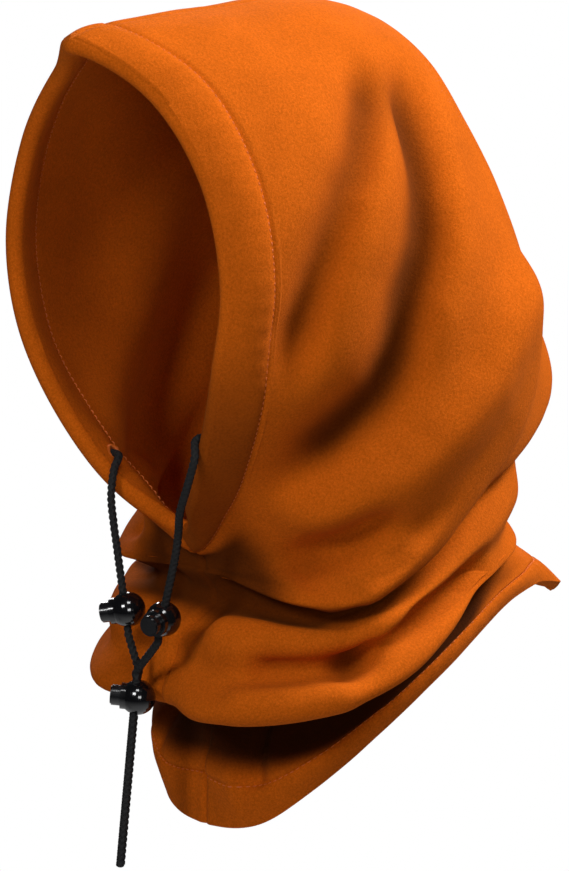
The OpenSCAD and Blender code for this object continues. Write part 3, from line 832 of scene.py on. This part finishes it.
outer_stitches = stitch_line("casing_stitches", 0.99, 0.12)
inner_stitches = stitch_line("casing_stitches_inside", 0.94, -5.9)
hem_stitches = stitch_line("hem_stitches", HEM_RING + 0.015, 0.12, 3.2, 2.4)
hem_inner_stitches = stitch_line("hem_stitches_inside", HEM_RING + 0.05, -5.7, 3.2, 2.4)

EYELET_L, EYELET_W, EYELET_STITCH = 6.0, 4.4, 1.5
EYELET_STITCHES = 46
EYELET_THREAD = 0.5
# A stitch of an eyelet, from inside its hole to its rim: (distance past the edge, height).
SATIN = ((0.05, -1.2), (-0.1, 0.1), (0.4, 0.65), (EYELET_STITCH - 0.3, 0.55),
         (EYELET_STITCH + 0.1, -0.3))


def buttonhole(name, u, exit_way, node):
    """A hole edged with satin stitch: threads side by side, each wrapped over the hole's edge."""
    centre = casing_point(u, EYELET_INSET, CASING_DEPTH)
    out = -normal(u, 0.3)
    along = unit(np.array(exit_way) - out * (np.array(exit_way) @ out))
    side = np.cross(out, along)
    straight = EYELET_L - EYELET_W
    r = EYELET_W / 2
    stitches = []
    for k in range(EYELET_STITCHES):
        a = 2 * math.pi * k / EYELET_STITCHES
        way = np.array((math.cos(a), math.sin(a)))
        middle = along * (straight / 2 * np.sign(way[0]) * min(abs(way[0]) * 3, 1))
        radial = along * way[0] + side * way[1]
        stitches.append([centre + middle + radial * (r + x) + out * z for x, z in SATIN])
    return threads(name, stitches, EYELET_THREAD, [node])


buttonhole("eyelet_stitch_left", LEFT_EYELET_AT, LEFT_EXIT, "eyelet_left")
buttonhole("eyelet_stitch_right", RIGHT_EYELET_AT, RIGHT_EXIT, "eyelet_right")


# ---------------------------------------------------------------- the CAD parts that stay
def dress(node, material):
    """Gives a CAD part a better material."""
    data = frame["nodes"][node].data
    data.materials.clear()
    data.materials.append(material)


for lock in LOCKS:
    dress(lock + "_lock_barrel", lock_plastic)
    dress(lock + "_lock_button", button_plastic)
dress("drawcord_in_casing", braid)


# ---------------------------------------------------------------- stage and light
FLOOR_Z = -1.6          # the height of a standing wearer's head above the ground
FLOOR_R, FLOOR_SIDES = 4.0, 96
FLOOR_GLOW = 0.72       # seen by the camera only, so that it stays pale and adds no light
floor_mesh = bpy.data.meshes.new("floor")
floor_mesh.from_pydata([(FLOOR_R * math.cos(a), FLOOR_R * math.sin(a), FLOOR_Z)
                        for a in np.linspace(0, 2 * math.pi, FLOOR_SIDES, endpoint=False)],
                       [], [tuple(range(FLOOR_SIDES))])
pale = plain_material("floor", (0.85, 0.85, 0.85), 0.9)
pale_nodes, pale_links = pale.node_tree.nodes, pale.node_tree.links
glow = pale_nodes.new("ShaderNodeMath")
glow.operation = "MULTIPLY"
glow.inputs[1].default_value = FLOOR_GLOW
pale_links.new(pale_nodes.new("ShaderNodeLightPath").outputs["Is Camera Ray"], glow.inputs[0])
pale_nodes["Principled BSDF"].inputs["Emission Color"].default_value = (1, 1, 1, 1)
pale_links.new(glow.outputs[0], pale_nodes["Principled BSDF"].inputs["Emission Strength"])
floor_mesh.materials.append(pale)
floor = bpy.data.objects.new("floor", floor_mesh)
bpy.context.scene.collection.objects.link(floor)


def area_light(name, place, size, power):
    """A soft round light, aimed at the middle of the view."""
    data = bpy.data.lights.new(name, "AREA")
    data.shape = "DISK"
    data.size = size
    data.energy = power
    light = bpy.data.objects.new(name, data)
    light.location = place
    light.rotation_mode = "QUATERNION"
    light.rotation_quaternion = (AIM - Vector(place)).to_track_quat("-Z", "Y")
    bpy.context.scene.collection.objects.link(light)


area_light("key", (0.50, 0.86, 0.95), 0.45, 33)
area_light("top_front", (0.9, -0.71, 1.45), 0.5, 8)
area_light("front", (0.45, -1.45, 0.62), 0.4, 9)
area_light("low_side", (1.36, -0.85, 0.02), 0.4, 4)
area_light("far_side", (-1.3, 0.75, 0.45), 0.5, 9)

# A white surround that is seen at full strength and lights the object softly.
SURROUND_LIGHT, SURROUND_SEEN = 0.02, 1.0
world = bpy.data.worlds.new("world")
world.use_nodes = True
surround = world.node_tree
sky = surround.nodes["Background"]
sky.inputs["Color"].default_value = (1, 1, 1, 1)
seen = surround.nodes.new("ShaderNodeLightPath")
strength = surround.nodes.new("ShaderNodeMapRange")
strength.inputs["To Min"].default_value = SURROUND_LIGHT
strength.inputs["To Max"].default_value = SURROUND_SEEN
surround.links.new(seen.outputs["Is Camera Ray"], strength.inputs["Value"])
surround.links.new(strength.outputs["Result"], sky.inputs["Strength"])
bpy.context.scene.world = world
bpy.context.scene.view_settings.view_transform = "Standard"
